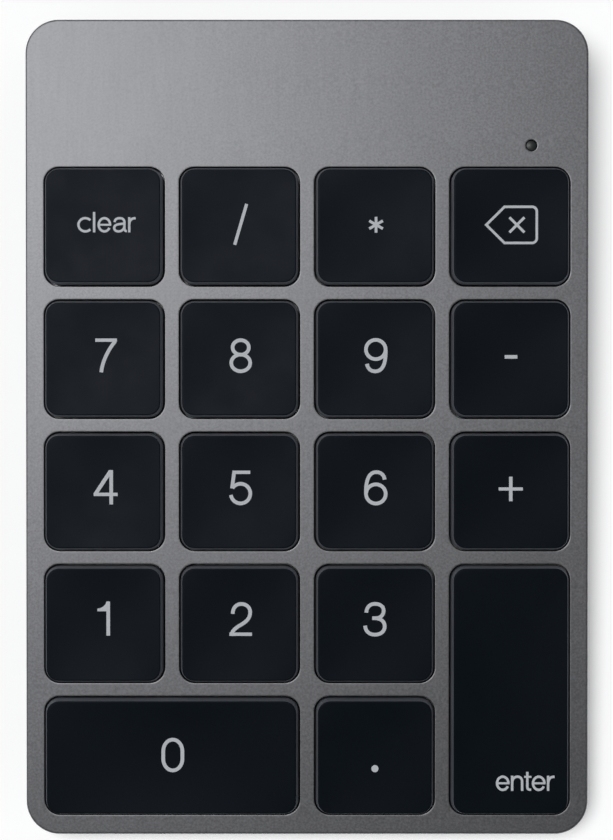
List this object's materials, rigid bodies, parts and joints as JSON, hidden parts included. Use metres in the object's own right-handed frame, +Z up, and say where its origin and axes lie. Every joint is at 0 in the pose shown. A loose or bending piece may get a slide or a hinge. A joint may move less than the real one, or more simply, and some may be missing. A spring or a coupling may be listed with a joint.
{
  "type": "numeric keypad",
  "caption": "Slim wireless numeric keypad: low-profile scissor keys in a grey aluminium deck over a wedge base with rubber feet, a charging socket and a power switch.",
  "frame": {"origin": "on the desk, at the middle of the footprint (the centre of the bounding box's bottom face)", "axes": "+X to the user's right, +Y to the rear edge, away from the user, +Z up"},
  "size_m": [0.0794, 0.115, 0.0113],
  "materials": {
    "anodised_aluminium": "fine bead-blasted, dark grey anodised",
    "keycap_plastic": "fine matte, blue-black, with pale grey legends",
    "base_plastic": "fine spark-eroded texture, dark grey",
    "foot_rubber": "matte black",
    "lever_plastic": "natural white acetal, satin",
    "steel": "rolled stainless steel",
    "dome_rubber": "milky silicone",
    "contact_film": "polyester film with printed silver tracks",
    "board_laminate": "green solder mask",
    "cell_pouch": "laminated foil pouch",
    "lead_insulation": "red insulation",
    "lens_plastic": "smoked clear plastic",
    "black_plastic": "fine matte black"
  },
  "bodies": {
    "base": {"top_case": "anodised_aluminium", "dome_sheet": "dome_rubber", "membrane": "contact_film", "support_plate": "steel", "case_screw_1": "steel", "case_screw_2": "steel", "case_screw_3": "steel", "case_screw_4": "steel", "status_lens": "lens_plastic", "bottom_cover": "base_plastic", "foot_front_left": "foot_rubber", "foot_front_right": "foot_rubber", "foot_rear_left": "foot_rubber", "foot_rear_right": "foot_rubber", "circuit_board": "board_laminate", "charging_socket": "steel", "power_switch_body": "steel", "battery": "cell_pouch", "battery_lead": "lead_insulation", "radio_module": "steel", "ribbon_clamp": "black_plastic"},
    "keycap_clear": {"keycap_clear": "keycap_plastic"},
    "scissor_lever_clear": {"scissor_lever_clear": "lever_plastic"},
    "keycap_divide": {"keycap_divide": "keycap_plastic"},
    "scissor_lever_divide": {"scissor_lever_divide": "lever_plastic"},
    "keycap_multiply": {"keycap_multiply": "keycap_plastic"},
    "scissor_lever_multiply": {"scissor_lever_multiply": "lever_plastic"},
    "keycap_backspace": {"keycap_backspace": "keycap_plastic"},
    "scissor_lever_backspace": {"scissor_lever_backspace": "lever_plastic"},
    "keycap_7": {"keycap_7": "keycap_plastic"},
    "scissor_lever_7": {"scissor_lever_7": "lever_plastic"},
    "keycap_8": {"keycap_8": "keycap_plastic"},
    "scissor_lever_8": {"scissor_lever_8": "lever_plastic"},
    "keycap_9": {"keycap_9": "keycap_plastic"},
    "scissor_lever_9": {"scissor_lever_9": "lever_plastic"},
    "keycap_minus": {"keycap_minus": "keycap_plastic"},
    "scissor_lever_minus": {"scissor_lever_minus": "lever_plastic"},
    "keycap_4": {"keycap_4": "keycap_plastic"},
    "scissor_lever_4": {"scissor_lever_4": "lever_plastic"},
    "keycap_5": {"keycap_5": "keycap_plastic"},
    "scissor_lever_5": {"scissor_lever_5": "lever_plastic"},
    "keycap_6": {"keycap_6": "keycap_plastic"},
    "scissor_lever_6": {"scissor_lever_6": "lever_plastic"},
    "keycap_plus": {"keycap_plus": "keycap_plastic"},
    "scissor_lever_plus": {"scissor_lever_plus": "lever_plastic"},
    "keycap_1": {"keycap_1": "keycap_plastic"},
    "scissor_lever_1": {"scissor_lever_1": "lever_plastic"},
    "keycap_2": {"keycap_2": "keycap_plastic"},
    "scissor_lever_2": {"scissor_lever_2": "lever_plastic"},
    "keycap_3": {"keycap_3": "keycap_plastic"},
    "scissor_lever_3": {"scissor_lever_3": "lever_plastic"},
    "keycap_point": {"keycap_point": "keycap_plastic"},
    "scissor_lever_point": {"scissor_lever_point": "lever_plastic"},
    "keycap_0": {"keycap_0": "keycap_plastic"},
    "scissor_lever_0": {"scissor_lever_0": "lever_plastic"},
    "keycap_enter": {"keycap_enter": "keycap_plastic"},
    "scissor_lever_enter": {"scissor_lever_enter": "lever_plastic"},
    "levelling_wire_0": {"levelling_wire_0": "steel"},
    "levelling_wire_enter": {"levelling_wire_enter": "steel"},
    "power_switch_knob": {"power_switch_knob": "black_plastic"}
  },
  "joints": [
    {"name": "key_clear_press", "type": "slide", "parent": "base", "child": "keycap_clear", "axis": [0, 0.0383, -0.9993], "range_m": [0, 0.0015], "stiffness_N_per_m": 250, "springref_m": -0.0006, "deforming": ["dome_sheet"]},
    {"name": "key_divide_press", "type": "slide", "parent": "base", "child": "keycap_divide", "axis": [0, 0.0383, -0.9993], "range_m": [0, 0.0015], "stiffness_N_per_m": 250, "springref_m": -0.0006, "deforming": ["dome_sheet"]},
    {"name": "key_multiply_press", "type": "slide", "parent": "base", "child": "keycap_multiply", "axis": [0, 0.0383, -0.9993], "range_m": [0, 0.0015], "stiffness_N_per_m": 250, "springref_m": -0.0006, "deforming": ["dome_sheet"]},
    {"name": "key_backspace_press", "type": "slide", "parent": "base", "child": "keycap_backspace", "axis": [0, 0.0383, -0.9993], "range_m": [0, 0.0015], "stiffness_N_per_m": 250, "springref_m": -0.0006, "deforming": ["dome_sheet"]},
    {"name": "key_7_press", "type": "slide", "parent": "base", "child": "keycap_7", "axis": [0, 0.0383, -0.9993], "range_m": [0, 0.0015], "stiffness_N_per_m": 250, "springref_m": -0.0006, "deforming": ["dome_sheet"]},
    {"name": "key_8_press", "type": "slide", "parent": "base", "child": "keycap_8", "axis": [0, 0.0383, -0.9993], "range_m": [0, 0.0015], "stiffness_N_per_m": 250, "springref_m": -0.0006, "deforming": ["dome_sheet"]},
    {"name": "key_9_press", "type": "slide", "parent": "base", "child": "keycap_9", "axis": [0, 0.0383, -0.9993], "range_m": [0, 0.0015], "stiffness_N_per_m": 250, "springref_m": -0.0006, "deforming": ["dome_sheet"]},
    {"name": "key_minus_press", "type": "slide", "parent": "base", "child": "keycap_minus", "axis": [0, 0.0383, -0.9993], "range_m": [0, 0.0015], "stiffness_N_per_m": 250, "springref_m": -0.0006, "deforming": ["dome_sheet"]},
    {"name": "key_4_press", "type": "slide", "parent": "base", "child": "keycap_4", "axis": [0, 0.0383, -0.9993], "range_m": [0, 0.0015], "stiffness_N_per_m": 250, "springref_m": -0.0006, "deforming": ["dome_sheet"]},
    {"name": "key_5_press", "type": "slide", "parent": "base", "child": "keycap_5", "axis": [0, 0.0383, -0.9993], "range_m": [0, 0.0015], "stiffness_N_per_m": 250, "springref_m": -0.0006, "deforming": ["dome_sheet"]},
    {"name": "key_6_press", "type": "slide", "parent": "base", "child": "keycap_6", "axis": [0, 0.0383, -0.9993], "range_m": [0, 0.0015], "stiffness_N_per_m": 250, "springref_m": -0.0006, "deforming": ["dome_sheet"]},
    {"name": "key_plus_press", "type": "slide", "parent": "base", "child": "keycap_plus", "axis": [0, 0.0383, -0.9993], "range_m": [0, 0.0015], "stiffness_N_per_m": 250, "springref_m": -0.0006, "deforming": ["dome_sheet"]},
    {"name": "key_1_press", "type": "slide", "parent": "base", "child": "keycap_1", "axis": [0, 0.0383, -0.9993], "range_m": [0, 0.0015], "stiffness_N_per_m": 250, "springref_m": -0.0006, "deforming": ["dome_sheet"]},
    {"name": "key_2_press", "type": "slide", "parent": "base", "child": "keycap_2", "axis": [0, 0.0383, -0.9993], "range_m": [0, 0.0015], "stiffness_N_per_m": 250, "springref_m": -0.0006, "deforming": ["dome_sheet"]},
    {"name": "key_3_press", "type": "slide", "parent": "base", "child": "keycap_3", "axis": [0, 0.0383, -0.9993], "range_m": [0, 0.0015], "stiffness_N_per_m": 250, "springref_m": -0.0006, "deforming": ["dome_sheet"]},
    {"name": "key_point_press", "type": "slide", "parent": "base", "child": "keycap_point", "axis": [0, 0.0383, -0.9993], "range_m": [0, 0.0015], "stiffness_N_per_m": 250, "springref_m": -0.0006, "deforming": ["dome_sheet"]},
    {"name": "key_0_press", "type": "slide", "parent": "base", "child": "keycap_0", "axis": [0, 0.0383, -0.9993], "range_m": [0, 0.0015], "stiffness_N_per_m": 400, "springref_m": -0.0006, "deforming": ["dome_sheet"]},
    {"name": "key_enter_press", "type": "slide", "parent": "base", "child": "keycap_enter", "axis": [0, 0.0383, -0.9993], "range_m": [0, 0.0015], "stiffness_N_per_m": 400, "springref_m": -0.0006, "deforming": ["dome_sheet"]},
    {"name": "scissor_clear_fold", "type": "hinge", "parent": "base", "child": "scissor_lever_clear", "pos_m": [-0.02857, 0.02346, 0.0064], "axis": [1, 0, 0], "range_deg": [-9, 0]},
    {"name": "scissor_divide_fold", "type": "hinge", "parent": "base", "child": "scissor_lever_divide", "pos_m": [-0.00953, 0.02346, 0.0064], "axis": [1, 0, 0], "range_deg": [-9, 0]},
    {"name": "scissor_multiply_fold", "type": "hinge", "parent": "base", "child": "scissor_lever_multiply", "pos_m": [0.00953, 0.02346, 0.0064], "axis": [1, 0, 0], "range_deg": [-9, 0]},
    {"name": "scissor_backspace_fold", "type": "hinge", "parent": "base", "child": "scissor_lever_backspace", "pos_m": [0.02857, 0.02346, 0.0064], "axis": [1, 0, 0], "range_deg": [-9, 0]},
    {"name": "scissor_7_fold", "type": "hinge", "parent": "base", "child": "scissor_lever_7", "pos_m": [-0.02857, 0.00481, 0.00569], "axis": [1, 0, 0], "range_deg": [-9, 0]},
    {"name": "scissor_8_fold", "type": "hinge", "parent": "base", "child": "scissor_lever_8", "pos_m": [-0.00953, 0.00481, 0.00569], "axis": [1, 0, 0], "range_deg": [-9, 0]},
    {"name": "scissor_9_fold", "type": "hinge", "parent": "base", "child": "scissor_lever_9", "pos_m": [0.00953, 0.00481, 0.00569], "axis": [1, 0, 0], "range_deg": [-9, 0]},
    {"name": "scissor_minus_fold", "type": "hinge", "parent": "base", "child": "scissor_lever_minus", "pos_m": [0.02857, 0.00481, 0.00569], "axis": [1, 0, 0], "range_deg": [-9, 0]},
    {"name": "scissor_4_fold", "type": "hinge", "parent": "base", "child": "scissor_lever_4", "pos_m": [-0.02857, -0.01383, 0.00497], "axis": [1, 0, 0], "range_deg": [-9, 0]},
    {"name": "scissor_5_fold", "type": "hinge", "parent": "base", "child": "scissor_lever_5", "pos_m": [-0.00953, -0.01383, 0.00497], "axis": [1, 0, 0], "range_deg": [-9, 0]},
    {"name": "scissor_6_fold", "type": "hinge", "parent": "base", "child": "scissor_lever_6", "pos_m": [0.00953, -0.01383, 0.00497], "axis": [1, 0, 0], "range_deg": [-9, 0]},
    {"name": "scissor_plus_fold", "type": "hinge", "parent": "base", "child": "scissor_lever_plus", "pos_m": [0.02857, -0.01383, 0.00497], "axis": [1, 0, 0], "range_deg": [-9, 0]},
    {"name": "scissor_1_fold", "type": "hinge", "parent": "base", "child": "scissor_lever_1", "pos_m": [-0.02857, -0.03247, 0.00426], "axis": [1, 0, 0], "range_deg": [-9, 0]},
    {"name": "scissor_2_fold", "type": "hinge", "parent": "base", "child": "scissor_lever_2", "pos_m": [-0.00953, -0.03247, 0.00426], "axis": [1, 0, 0], "range_deg": [-9, 0]},
    {"name": "scissor_3_fold", "type": "hinge", "parent": "base", "child": "scissor_lever_3", "pos_m": [0.00953, -0.03247, 0.00426], "axis": [1, 0, 0], "range_deg": [-9, 0]},
    {"name": "scissor_point_fold", "type": "hinge", "parent": "base", "child": "scissor_lever_point", "pos_m": [0.00953, -0.05111, 0.00355], "axis": [1, 0, 0], "range_deg": [-9, 0]},
    {"name": "scissor_0_fold", "type": "hinge", "parent": "base", "child": "scissor_lever_0", "pos_m": [-0.01905, -0.05111, 0.00355], "axis": [1, 0, 0], "range_deg": [-9, 0]},
    {"name": "scissor_enter_fold", "type": "hinge", "parent": "base", "child": "scissor_lever_enter", "pos_m": [0.02378, -0.03699, 0.00409], "axis": [0, -0.9993, -0.0383], "range_deg": [-9, 0]},
    {"name": "levelling_wire_0_swing", "type": "hinge", "parent": "base", "child": "levelling_wire_0", "pos_m": [-0.01905, -0.04531, 0.00377], "axis": [1, 0, 0], "range_deg": [-15.5, 0]},
    {"name": "levelling_wire_enter_swing", "type": "hinge", "parent": "base", "child": "levelling_wire_enter", "pos_m": [0.02958, -0.03699, 0.00409], "axis": [0, -0.9993, -0.0383], "range_deg": [-15.5, 0]},
    {"name": "power_switch_slide", "type": "slide", "parent": "base", "child": "power_switch_knob", "axis": [1, 0, 0], "range_m": [0, 0.002]}
  ],
  "couplings": [
    {"joint": "scissor_clear_fold", "follows": "key_clear_press", "rad_per_m": -102.28},
    {"joint": "scissor_divide_fold", "follows": "key_divide_press", "rad_per_m": -102.28},
    {"joint": "scissor_multiply_fold", "follows": "key_multiply_press", "rad_per_m": -102.28},
    {"joint": "scissor_backspace_fold", "follows": "key_backspace_press", "rad_per_m": -102.28},
    {"joint": "scissor_7_fold", "follows": "key_7_press", "rad_per_m": -102.28},
    {"joint": "scissor_8_fold", "follows": "key_8_press", "rad_per_m": -102.28},
    {"joint": "scissor_9_fold", "follows": "key_9_press", "rad_per_m": -102.28},
    {"joint": "scissor_minus_fold", "follows": "key_minus_press", "rad_per_m": -102.28},
    {"joint": "scissor_4_fold", "follows": "key_4_press", "rad_per_m": -102.28},
    {"joint": "scissor_5_fold", "follows": "key_5_press", "rad_per_m": -102.28},
    {"joint": "scissor_6_fold", "follows": "key_6_press", "rad_per_m": -102.28},
    {"joint": "scissor_plus_fold", "follows": "key_plus_press", "rad_per_m": -102.28},
    {"joint": "scissor_1_fold", "follows": "key_1_press", "rad_per_m": -102.28},
    {"joint": "scissor_2_fold", "follows": "key_2_press", "rad_per_m": -102.28},
    {"joint": "scissor_3_fold", "follows": "key_3_press", "rad_per_m": -102.28},
    {"joint": "scissor_point_fold", "follows": "key_point_press", "rad_per_m": -102.28},
    {"joint": "scissor_0_fold", "follows": "key_0_press", "rad_per_m": -102.28},
    {"joint": "scissor_enter_fold", "follows": "key_enter_press", "rad_per_m": -102.28},
    {"joint": "levelling_wire_0_swing", "follows": "key_0_press", "rad_per_m": -178.28},
    {"joint": "levelling_wire_enter_swing", "follows": "key_enter_press", "rad_per_m": -178.28}
  ]
}
